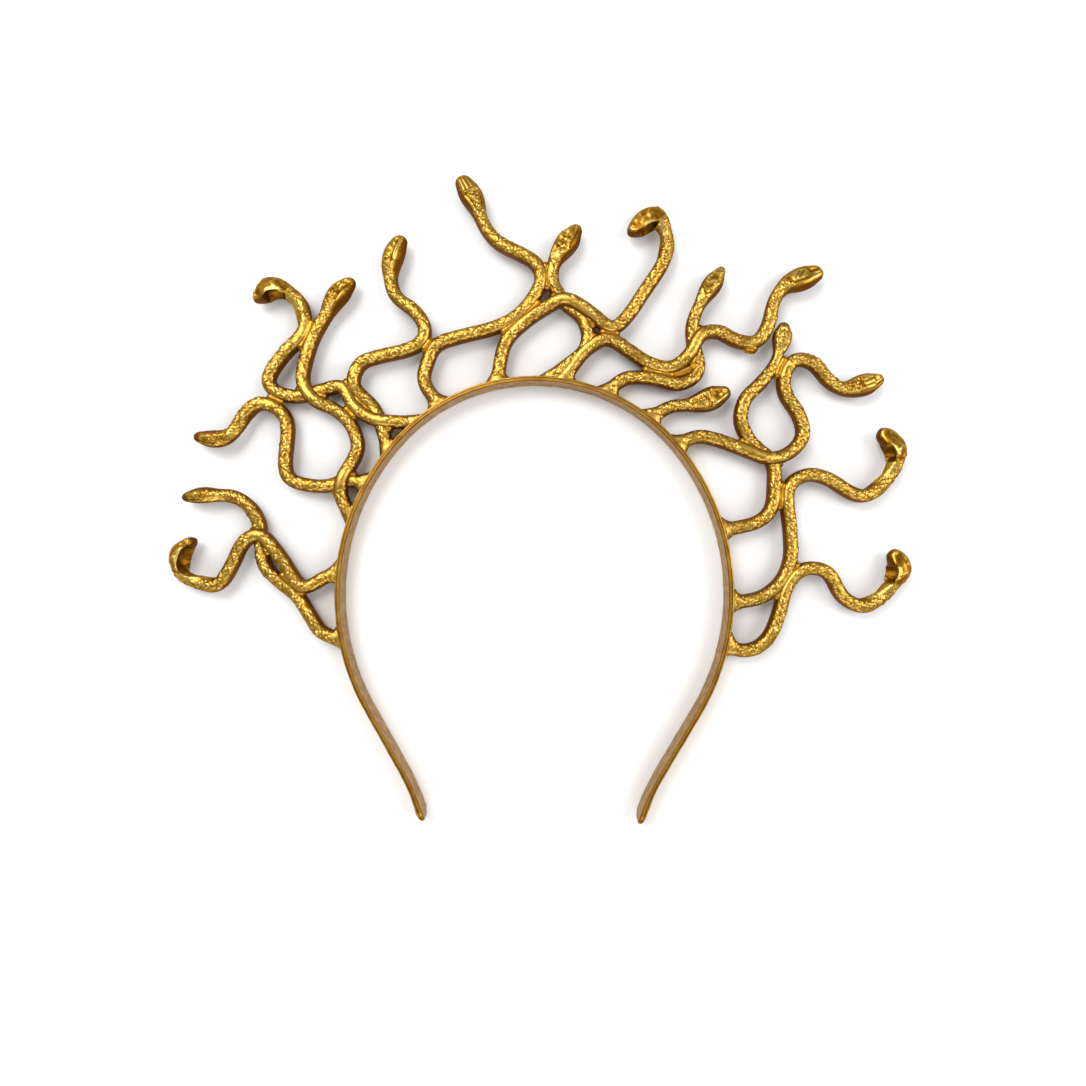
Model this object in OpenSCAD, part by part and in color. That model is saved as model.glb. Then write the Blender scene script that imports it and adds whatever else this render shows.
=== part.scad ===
// Diadem of sixteen snakes on a plain headband, one piece of soldered metal.
// It lies on its back: +X to the wearer's left, +Y up over the head, +Z to the front.
// The origin is the middle of its outline, on the surface it lies on. Sizes are in millimetres.

/* [Headband] */
// Inner radius of the band over the top of the head
crown_r = 61.8; // [52:0.2:72]
// Turn from the top of the band to where the flatter side begins
crown_turn = 48; // [40:1:56]
// Inner radius of the flatter side
side_r = 78; // [74:0.5:90]
// Lean of each leg, inward from straight down
leg_lean = 30; // [22:1:34]
// Length of the straight part of each leg
leg_l = 24; // [10:1:40]
// Radius of the outward curve at each end
end_r = 74; // [40:1:120]
// Turn of the outward curve at each end
end_turn = 15; // [5:1:20]
// Thickness of the band
band_t = 1.8; // [1.4:0.1:2.6]
// Depth of the band from its back edge to its front edge
band_d = 9; // [8:0.25:12]
// Bevel along the edges of the band
band_bevel = 0.4; // [0.2:0.05:0.6]
// Thickness of the rounded pad at each end
end_t = 2.2; // [1.8:0.1:3]
// Length over which each end thickens and rounds off
end_l = 10; // [6:0.5:16]

/* [Snakes] */
// Height of the tallest head above the top of the band
crest_h = 70.5; // [60:0.5:84]
// Turn of the whole crest round the band, to the right
crest_turn = -0.8; // [-4:0.1:4]
// Width of a body, seen from the front
body_w = 4.7; // [4.2:0.1:5.4]
// Depth of a body from back to front
body_d = 5.4; // [4.6:0.1:6]
// Width of the neck behind a head
neck_w = 4.2; // [3.6:0.1:4.8]
// Length over which a neck fills out to the body
neck_l = 12; // [8:0.5:18]
// Length of a body that flares out to its foot on the band
foot_l = 4; // [2.5:0.25:5]
// Length of a foot along the band
foot_w = 9.5; // [7:0.25:11]

/* [Heads] */
// Length of a plain head
head_l = 15; // [12:0.5:18]
// Width of a plain head at the jaw
head_w = 8; // [6.5:0.25:9]
// Height of a head from chin to brow
head_h = 5.6; // [4.8:0.1:6.4]
// Length of a hooded snake's head
cobra_l = 9; // [7:0.5:11]
// Width of a hooded snake's head
cobra_w = 6.2; // [5.2:0.2:7]
// Length of a hood
hood_l = 11; // [8:0.5:15]
// Width of a hood
hood_w = 8.8; // [7:0.2:8.8]
// Thickness of a hood at its middle
hood_t = 3; // [2.4:0.2:4]
// How far the edges of a hood curl forward of its middle
hood_curl = 3; // [0.5:0.1:3.2]

/* [Hidden] */
GOLD = [0.80, 0.62, 0.20];

// Columns of a route: angle round the band from its top in degrees, the right side plus; rise
// above the band's outer face, a share of crest_h; lift in front of the band's middle, a share
// of body_d. Each route runs from the tip of the snout to the foot on the band.
ANGLE = 0;
RISE = 1;
LIFT = 2;

// Columns of a snake: its route; the roll of its head in degrees, from facing the front towards
// the right-hand side of someone who looks from the snout to the foot, turned over by a minus;
// the size of its head, a share of the sizes above; and whether it spreads a hood
ROUTE = 0;
ROLL = 1;
SIZE = 2;
HOODED = 3;

left_low_hooded = [[
    [-86, 0.71, 0], [-86.5, 0.74, 0], [-87, 0.77, 0], [-88, 0.795, 0], [-89, 0.81, 0],
    [-90, 0.80, 0], [-91.5, 0.78, 0], [-92.5, 0.75, 0], [-93, 0.705, 0], [-93.5, 0.66, 0],
    [-94, 0.61, 0], [-93.5, 0.57, 0],
    [-90, 0.52, 0], [-86, 0.48, 0.1], [-84.5, 0.41, 0.2], [-87, 0.33, 0.2], [-91, 0.25, 0.1],
    [-94.5, 0.20, 0.1], [-96, 0.165, 0.1], [-95.5, 0.12, 0], [-94, 0.07, 0], [-92.5, 0, 0],
], 90, 1, true];
left_low = [[
    [-79.5, 0.82, 0], [-78.5, 0.74, 0], [-78, 0.67, 0], [-77.5, 0.58, 0], [-78.5, 0.50, 0],
    [-81.5, 0.43, -0.1], [-86, 0.39, -0.2], [-90, 0.36, -0.1], [-94, 0.29, -0.1],
    [-98, 0.20, -0.2], [-103, 0.14, 0], [-108, 0.09, 0], [-112, 0, 0],
], -65, 0.9, false];
left_middle = [[
    [-69.5, 0.86, 0], [-68.5, 0.74, 0], [-66.5, 0.69, 0], [-63, 0.68, 0], [-60, 0.65, 0],
    [-59, 0.57, 0], [-60, 0.49, 0], [-63.5, 0.44, 0], [-68, 0.40, 0], [-71, 0.35, 0],
    [-71, 0.25, 0], [-69.5, 0.16, -0.1], [-66.5, 0.10, -0.2], [-64.5, 0, 0],
], -65, 1, false];
left_high_hooded = [[
    [-47, 0.96, 0], [-45.5, 0.975, 0], [-44, 0.98, 0], [-43, 0.965, 0], [-42, 0.93, 0],
    [-42, 0.875, 0], [-42, 0.82, 0], [-42.5, 0.77, 0],
    [-45, 0.69, 0], [-50, 0.69, 0], [-55, 0.68, 0], [-56.5, 0.62, 0], [-55, 0.51, 0],
    [-51, 0.44, -0.2], [-47.5, 0.37, 0], [-49, 0.27, 0.1], [-48.5, 0.16, 0.1],
    [-45, 0.07, 0.1], [-39.5, 0, 0],
], -90, 1, true];
left_high = [[
    [-32.5, 0.74, 0], [-36.5, 0.72, 0], [-40, 0.68, 0], [-44.5, 0.64, 0], [-48.5, 0.59, 0],
    [-52, 0.53, 0.1], [-53.5, 0.43, 0.2], [-52.5, 0.33, 0], [-53, 0.22, 0], [-56.5, 0.13, 0],
    [-61, 0.11, 0], [-66, 0.11, 0.2], [-71, 0.08, 0.1], [-76.5, 0, 0],
], 25, 1, false];
left_top = [[
    [-22, 0.82, 0], [-25, 0.74, 0], [-27, 0.65, 0], [-27.5, 0.56, 0], [-25.5, 0.46, 0],
    [-25, 0.37, 0], [-27, 0.31, 0], [-31, 0.31, 0], [-36, 0.35, 0], [-41, 0.39, 0],
    [-45, 0.35, 0.1], [-46, 0.30, 0], [-46, 0.20, -0.2], [-48, 0.11, -0.1], [-53, 0, 0],
], 30, 1, false];
top_left = [[
    [-11, 1.02, 0], [-9.5, 0.89, 0], [-8.5, 0.76, 0], [-6.5, 0.67, 0], [-3.5, 0.62, 0],
    [0, 0.56, 0], [1, 0.48, 0], [-0.5, 0.39, 0], [-4.5, 0.30, 0], [-10.5, 0.26, 0],
    [-17, 0.26, 0], [-24, 0.265, 0], [-28, 0.21, 0], [-31.5, 0.13, 0], [-31, 0, 0],
], 0, 1, false];
top_middle = [[
    [7.5, 0.76, 0], [5.5, 0.65, 0], [4, 0.56, 0], [4, 0.47, -0.1], [6.5, 0.38, -0.2],
    [10.5, 0.33, -0.2], [13, 0.25, -0.1], [13, 0.16, -0.1], [9.5, 0.08, 0], [3.5, 0, 0],
], 20, 1, false];
top_right_hooded = [[
    [16, 0.76, 0], [16.5, 0.81, 0], [17, 0.86, 0], [18, 0.90, 0], [19.5, 0.915, 0],
    [20.5, 0.895, 0], [21.5, 0.85, 0], [22.5, 0.80, 0], [23, 0.73, 0], [23, 0.66, 0], [22, 0.53, 0],
    [20.5, 0.38, 0], [18, 0.30, 0.1], [13, 0.34, 0.2], [7, 0.39, 0.2], [3, 0.35, 0.1],
    [-3, 0.265, 0], [-8, 0.17, 0], [-12, 0, 0],
], -90, 1, true];
right_top = [[
    [32.5, 0.81, 0], [32.5, 0.72, 0], [32.5, 0.60, 0], [33.5, 0.49, -0.1], [36.5, 0.41, -0.2],
    [40, 0.34, -0.2], [40.5, 0.27, -0.1], [38.5, 0.20, 0], [34, 0.165, 0], [29, 0.13, 0],
    [25.5, 0.09, 0], [22.5, 0, 0],
], 10, 1, false];
right_high_side = [[
    [44.5, 1.10, 0], [43, 0.99, 0], [42, 0.91, 0], [42.5, 0.82, 0], [44.5, 0.72, 0],
    [45, 0.62, 0], [42, 0.56, 0], [38.5, 0.54, 0], [36, 0.47, 0.2], [36.5, 0.36, 0.2],
    [35, 0.26, 0.1], [30, 0.22, 0], [24, 0.23, 0], [18, 0.25, 0], [14.5, 0.19, 0],
    [12, 0.12, 0], [8.5, 0, 0],
], 25, 1, false];
right_high = [[
    [46, 0.79, 0], [48.5, 0.70, 0], [50.5, 0.60, 0], [51.5, 0.50, 0], [52, 0.40, 0],
    [55, 0.32, 0], [58.5, 0.30, 0], [62, 0.31, -0.2], [67, 0.35, -0.1], [72, 0.31, 0],
    [77, 0.26, 0], [79.5, 0.18, 0], [80, 0.08, 0], [80, 0, 0],
], 0, 0.72, false];
right_middle_side = [[
    [62, 1.02, 0], [61.5, 0.91, 0], [60.5, 0.82, 0], [58, 0.78, 0], [54.5, 0.77, 0],
    [52, 0.71, 0], [53, 0.62, 0], [56, 0.57, 0], [60.5, 0.57, 0], [64.5, 0.54, 0],
    [66.5, 0.45, 0], [66, 0.34, 0.2], [61.5, 0.25, 0.2], [56, 0.17, 0], [52, 0.10, 0],
    [50, 0, 0],
], 35, 1, false];
right_middle_hooded = [[
    [70, 0.86, 0], [70, 0.89, 0], [70, 0.925, 0], [71, 0.95, 0], [72, 0.96, 0], [73.5, 0.95, 0],
    [74.5, 0.925, 0], [75.5, 0.885, 0], [77.5, 0.80, 0], [78.5, 0.71, 0], [77, 0.64, 0],
    [74, 0.57, 0], [72, 0.48, 0], [73, 0.38, 0],
    [77, 0.34, 0], [83, 0.32, 0], [89, 0.30, 0], [94, 0.25, 0], [98, 0.165, 0],
    [100, 0.08, 0], [101.5, 0, 0],
], -90, 1, true];
right_low_hooded = [[
    [89, 0.77, 0], [89, 0.80, 0], [89, 0.83, 0], [90, 0.855, 0], [91, 0.86, 0], [92.5, 0.84, 0],
    [93.5, 0.80, 0], [95, 0.755, 0], [97, 0.68, 0], [97.5, 0.62, 0], [96, 0.54, 0],
    [92, 0.48, 0], [91, 0.40, 0], [92, 0.33, 0],
    [95.5, 0.27, 0], [101, 0.24, 0], [106.5, 0.21, 0], [110.5, 0.16, 0], [113, 0.08, 0],
    [113, 0, 0],
], -90, 1, true];
right_short = [[
    [48.5, 0.37, 0], [46.5, 0.25, 0], [44, 0.17, 0], [41, 0.11, 0], [38, 0, 0],
], 0, 1, false];

SNAKES = [
    left_low_hooded, left_low, left_middle, left_high_hooded, left_high, left_top,
    top_left, top_middle, top_right_hooded,
    right_top, right_high_side, right_high, right_middle_side, right_middle_hooded,
    right_low_hooded, right_short,
];

// Section of a body, as shares of its half width and half height, anticlockwise
SECTION = [
    [1, -0.4], [1, 0.4], [0.55, 1], [-0.55, 1],
    [-1, 0.4], [-1, -0.4], [-0.55, -1], [0.55, -1],
];

// Lap of a foot over the end of its body, and how much larger than the body it starts
foot_lap = 0.6;
foot_swell = 1.05;
// How far before and behind a ring the route is read for the ring's direction, on a plain
// stretch and on a hood
aim = 1;
hood_aim = 3.2;
// Spacing of the rings along a head and along a body
head_step = 2.1;
body_step = 3.1;
// Stations along each half of the band
band_n = 36;
// Corners of the band's section: side, depth, and which of the two each one's bevel shortens
BAND_SECTION = [
    [1, -1, 0, 1], [1, 1, 0, 1], [1, 1, 1, 0], [-1, 1, 1, 0],
    [-1, 1, 0, 1], [-1, -1, 0, 1], [-1, -1, 1, 0], [1, -1, 1, 0],
];
// Where the rounded end's stations lie, as shares of its length
END_SHARES = [0.25, 0.5, 0.65, 0.8, 0.92, 1];
// Least share of the rounding at the very end, and the most a bevel takes of a half size
end_share = 0.04;
bevel_share = 0.4;
// Thickness of the band by distance from its end
END_THICKNESS = [[0, 0.4 * end_t], [0.12 * end_l, end_t], [0.5 * end_l, end_t], [end_l, band_t]];

// Half widths of a plain snake by distance from the tip of its snout
PLAIN_WIDTHS = [
    [0, 0.34 * head_w / 2],
    [0.12 * head_l, 0.70 * head_w / 2],
    [0.30 * head_l, 0.91 * head_w / 2],
    [0.50 * head_l, head_w / 2],
    [0.70 * head_l, 0.90 * head_w / 2],
    [0.85 * head_l, 0.74 * head_w / 2],
    [1.10 * head_l, neck_w / 2],
    [1.10 * head_l + neck_l, body_w / 2],
];
PLAIN_HEIGHTS = [
    [0, 0.35 * head_h / 2],
    [0.12 * head_l, 0.62 * head_h / 2],
    [0.35 * head_l, 0.90 * head_h / 2],
    [0.60 * head_l, head_h / 2],
    [1.00 * head_l, 0.84 * head_h / 2],
    [1.10 * head_l + neck_l, body_d / 2],
];
// Half widths and half heights of a hooded snake, by distance from the tip of its snout
HOODED_WIDTHS = [
    [0, 0.30 * cobra_w / 2],
    [0.15 * cobra_l, 0.62 * cobra_w / 2],
    [0.65 * cobra_l, cobra_w / 2],
    [cobra_l, 0.94 * hood_w / 2],
    [cobra_l + 0.20 * hood_l, hood_w / 2],
    [cobra_l + 0.50 * hood_l, 0.82 * hood_w / 2],
    [cobra_l + 0.70 * hood_l, 0.60 * hood_w / 2],
    [cobra_l + hood_l, body_w / 2],
];
HOODED_HEIGHTS = [
    [0, 0.30 * head_h / 2],
    [0.15 * cobra_l, 0.58 * head_h / 2],
    [0.60 * cobra_l, 0.86 * head_h / 2],
    [cobra_l, hood_t / 2],
    [cobra_l + 0.50 * hood_l, hood_t / 2],
    [cobra_l + hood_l, body_d / 2],
];
// How far the edges curl forward, by distance from the tip of the snout
HOOD_CURLS = [
    [0.40 * cobra_l, 0],
    [0.85 * cobra_l, 0.5 * hood_curl],
    [cobra_l + 0.12 * hood_l, hood_curl],
    [cobra_l + 0.42 * hood_l, hood_curl],
    [cobra_l + 0.85 * hood_l, 0],
];

mid_d = band_d / 2;

// Direction at an angle from the top of the band
function outward(angle) = [sin(angle), cos(angle)];

// Distance of the band's outer face from the centre of the crown curve, at an angle
function face_r(angle) =
    let (
        turn = abs(angle),
        crown = crown_r + band_t,
        side = side_r + band_t,
        offset = side - crown,
        near = offset * cos(turn - crown_turn)
    )
    turn <= crown_turn ? crown : sqrt(near * near - offset * offset + side * side) - near;

// Point of a route in space
function spot(row) =
    let (angle = row[ANGLE] + crest_turn)
    concat(
        outward(angle) * (face_r(angle) + row[RISE] * crest_h),
        mid_d + row[LIFT] * body_d
    );

// The foot's point sinks to the middle of the band's thickness
function foot_spot(row) =
    let (angle = row[ANGLE] + crest_turn)
    concat(outward(angle) * (face_r(angle) - band_t / 2), mid_d);

function spots(route) =
    let (last = len(route) - 1)
    [for (i = [0 : last]) i < last ? spot(route[i]) : foot_spot(route[i])];

// Smooth curve through points, four steps to each stretch
function curve(points) =
    let (last = len(points) - 1)
    concat(
        [
            for (i = [0 : last - 1], k = [0 : 3])
                let (
                    t = k / 4,
                    a = points[max(i - 1, 0)],
                    b = points[i],
                    c = points[i + 1],
                    d = points[min(i + 2, last)]
                )
                (2 * b + (c - a) * t + (2 * a - 5 * b + 4 * c - d) * t * t
                    + (3 * b - 3 * c + d - a) * t * t * t) / 2
        ],
        [points[last]]
    );

// Distance run to each point of a line
function runs(line) =
    [for (i = 0, s = 0; i < len(line); i = i + 1, s = s + (i < len(line)
        ? norm(line[i] - line[i - 1]) : 0)) s];

function column(keys, line, axis) = [for (i = [0 : len(line) - 1]) [keys[i], line[i][axis]]];
function point_at(tables, s) = [for (table = tables) lookup(s, table)];
function unit(v) = v / norm(v);

// Ring of points round a route, at a distance from the snout, swelled by a factor
function ring(tables, total, snake, s, swell = 1) =
    let (
        hooded = snake[HOODED],
        size = snake[SIZE],
        reach = size * (hooded ? cobra_l + hood_l : head_l),
        here = point_at(tables, s),
        reading = hooded ? lookup(s, [[reach, hood_aim], [reach + neck_l, aim]]) : aim,
        ahead = point_at(tables, min(s + reading, total)),
        behind = point_at(tables, max(s - reading, 0)),
        forward = unit(ahead - behind),
        side = unit(cross(forward, [0, 0, 1])),
        front = cross(side, forward),
        roll = lookup(s, [[reach, snake[ROLL]], [reach + neck_l, 0]]),
        across = side * cos(roll) - front * sin(roll),
        up = front * cos(roll) + side * sin(roll),
        scale = lookup(s, [[reach, size], [reach + neck_l, 1]]) * swell,
        half_w = lookup(s / size, hooded ? HOODED_WIDTHS : PLAIN_WIDTHS) * scale,
        half_h = lookup(s / size, hooded ? HOODED_HEIGHTS : PLAIN_HEIGHTS) * scale,
        curl = hooded ? lookup(s, HOOD_CURLS) : 0
    )
    [
        for (corner = SECTION)
            here + across * half_w * corner.x
                + up * (half_h * corner.y - curl * corner.x * corner.x)
    ];

function rings(snake) =
    let (
        line = curve(spots(snake[ROUTE])),
        keys = runs(line),
        total = keys[len(keys) - 1],
        tables = [for (axis = [0 : 2]) column(keys, line, axis)],
        head_end = snake[HOODED] ? cobra_l + hood_l : head_l + head_step,
        body_l = total - foot_l + foot_lap / 2 - head_end,
        head_n = ceil(head_end / head_step),
        body_n = ceil(body_l / body_step)
    )
    concat(
        [for (i = [0 : head_n - 1]) ring(tables, total, snake, head_end * i / head_n)],
        [for (i = [0 : body_n]) ring(tables, total, snake, head_end + body_l * i / body_n)]
    );

// Solid through rings that have the same number of points
module loft(rings) {
    n = len(rings[0]);
    last = len(rings) - 1;
    sides = [
        for (i = [0 : last - 1], k = [0 : n - 1])
            [i * n + k, i * n + (k + 1) % n, (i + 1) * n + (k + 1) % n, (i + 1) * n + k]
    ];
    polyhedron(
        points = [for (ring = rings) each ring],
        faces = concat(
            sides,
            [[for (k = [n - 1 : -1 : 0]) k]],
            [[for (k = [0 : n - 1]) last * n + k]]
        )
    );
}

// Middle line of the band by distance from its top: place and direction outward
line_crown_r = crown_r + band_t / 2;
line_side_r = side_r + band_t / 2;
side_centre = (line_crown_r - line_side_r) * outward(crown_turn);
side_end = 90 + leg_lean;
leg_top = side_centre + line_side_r * outward(side_end);
leg_foot = leg_top + leg_l * outward(side_end + 90);
end_centre = leg_foot + end_r * outward(side_end);

radian = 180 / PI;
crown_run = line_crown_r * crown_turn / radian;
side_run = crown_run + line_side_r * (side_end - crown_turn) / radian;
leg_run = side_run + leg_l;
band_run = leg_run + end_r * end_turn / radian;

function crown_place(a) = concat(line_crown_r * outward(a), a);
function side_place(a) = concat(side_centre + line_side_r * outward(a), a);
function leg_place(s) = concat(leg_top + s * outward(side_end + 90), side_end);
function end_place(a) = concat(end_centre - end_r * outward(a), a);
function right_place(s) =
    s <= crown_run ? crown_place(s / line_crown_r * radian)
    : s <= side_run ? side_place(crown_turn + (s - crown_run) / line_side_r * radian)
    : s <= leg_run ? leg_place(s - side_run)
    : end_place(side_end - (s - leg_run) / end_r * radian);

// Bevelled section of the band, at a signed distance from its top
function band_ring(s) =
    let (
        place = right_place(abs(s)),
        side = s < 0 ? -1 : 1,
        angle = side * place[2],
        middle = [side * place.x, place.y],
        from_end = band_run - abs(s),
        round_share = min(1, max(end_share, from_end / mid_d)),
        half_d = mid_d * sqrt(1 - pow(1 - round_share, 2)),
        half_t = lookup(from_end, END_THICKNESS) / 2,
        bevel = min(band_bevel, bevel_share * half_t, bevel_share * half_d)
    )
    [
        for (corner = BAND_SECTION)
            concat(
                middle - outward(angle) * corner.x * (half_t - bevel * corner[2]),
                mid_d + corner.y * (half_d - bevel * corner[3])
            )
    ];

band_rings =
    let (
        right = concat(
            [for (n = [0 : band_n]) (n / band_n) * (band_run - end_l)],
            [for (share = END_SHARES) band_run - end_l * (1 - share)]
        ),
        left = [for (i = [len(right) - 1 : -1 : 1]) -right[i]]
    )
    [for (s = concat(left, right)) band_ring(s)];

module band() {
    color(GOLD) loft(band_rings);
}

// Middle of the outline, over the band and every snake
all_points = concat(
    [for (ring = band_rings) each ring],
    [for (which = SNAKES) for (ring = rings(which)) each ring]
);
xs = [for (p = all_points) p.x];
ys = [for (p = all_points) p.y];
outline_middle = [min(xs) + max(xs), min(ys) + max(ys)] / 2;

module snake(which) {
    color(GOLD) loft(rings(which));
}

// Flare of soldered metal between a body and the band, a little proud of both
module foot(which) {
    route = which[ROUTE];
    angle = route[len(route) - 1][ANGLE] + crest_turn;
    line = curve(spots(route));
    keys = runs(line);
    total = keys[len(keys) - 1];
    tables = [for (axis = [0 : 2]) column(keys, line, axis)];
    color(GOLD) hull() {
        rotate(-angle)
            translate([0, face_r(angle), mid_d])
                cube([foot_w, band_t / 2, body_d], center = true);
        loft([
            for (s = [total - foot_l, total - foot_l + foot_lap])
                ring(tables, total, which, s, foot_swell)
        ]);
    }
}

module diadem() {
    translate([-outline_middle.x, -outline_middle.y, 0]) {
        band();
        for (which = SNAKES) {
            snake(which);
            foot(which);
        }
    }
}

diadem();
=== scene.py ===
"""Looks of the snake diadem: band, sixteen cast snakes and their solder, on a pale floor."""

import math

import bpy
import numpy as np
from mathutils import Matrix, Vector


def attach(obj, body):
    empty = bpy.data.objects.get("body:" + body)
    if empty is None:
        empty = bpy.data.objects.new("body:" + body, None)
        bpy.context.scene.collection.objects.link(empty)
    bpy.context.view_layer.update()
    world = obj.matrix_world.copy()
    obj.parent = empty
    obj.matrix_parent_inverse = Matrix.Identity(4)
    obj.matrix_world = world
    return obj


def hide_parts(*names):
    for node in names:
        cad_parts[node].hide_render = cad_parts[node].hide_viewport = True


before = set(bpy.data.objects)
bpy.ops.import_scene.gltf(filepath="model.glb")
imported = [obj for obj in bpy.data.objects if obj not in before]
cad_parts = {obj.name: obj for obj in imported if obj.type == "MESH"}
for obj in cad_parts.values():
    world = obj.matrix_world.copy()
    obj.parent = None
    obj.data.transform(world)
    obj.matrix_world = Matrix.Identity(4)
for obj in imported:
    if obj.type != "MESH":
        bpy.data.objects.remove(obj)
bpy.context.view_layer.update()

MM = 0.001
DEGREES = 180 / math.pi

# Sizes shared with the construction model, in millimetres
CROWN_R, CROWN_TURN = 61.8, 48
SIDE_R, LEG_LEAN, LEG_L = 78, 30, 24
END_R, END_TURN = 74, 15
BAND_T, BAND_D = 1.8, 9
END_T, END_L = 2.2, 10
CREST_H, CREST_TURN = 70.5, -0.8
BODY_W, BODY_D = 4.7, 5.4
NECK_W, NECK_L = 4.2, 12
FOOT_L, FOOT_W = 4, 9.5
HEAD_L, HEAD_W, HEAD_H = 15, 8, 5.6
COBRA_L, COBRA_W = 9, 6.2
HOOD_L, HOOD_W = 11, 8.8
MID_D = BAND_D / 2
# Middle of the outline, from the centre of the crown curve: the row's origin
MIDDLE = np.array([2.01271, 22.172, 0.0])

# How finely lookups and lines are worked out, and points to a stretch of route
TABLE_STEP, LINE_STEP, CURVE_STEPS = 0.1, 0.25, 12
# Corners of a route are rounded off over about this distance
EASE = 1.4
# Rings round off a snout, and stand this far apart on a head and on a body
TIP_RINGS, HEAD_STEP, BODY_STEP = 12, 0.16, 0.255
# Section of a body: a domed front, upright walls and a flat back. The powers are those of its
# rounded corners, and the front columns take up twice this share of the way round.
SECTION_STEPS, FRONT_POWER, BACK_POWER = 2400, 2.35, 3.2
FRONT_COLUMNS, BACK_COLUMNS, FRONT_SHARE = 34, 18, 0.31
# Rings of the band, the rounding of its edges, and points to a corner and to a flat side
BAND_STEP, END_RINGS, CORNER_R, CORNER_STEPS, FLAT_STEPS = 0.9, 40, 0.45, 5, 6
# Levels of a drop of solder, and points round it
DROP_GRID = 8, 16

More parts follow.
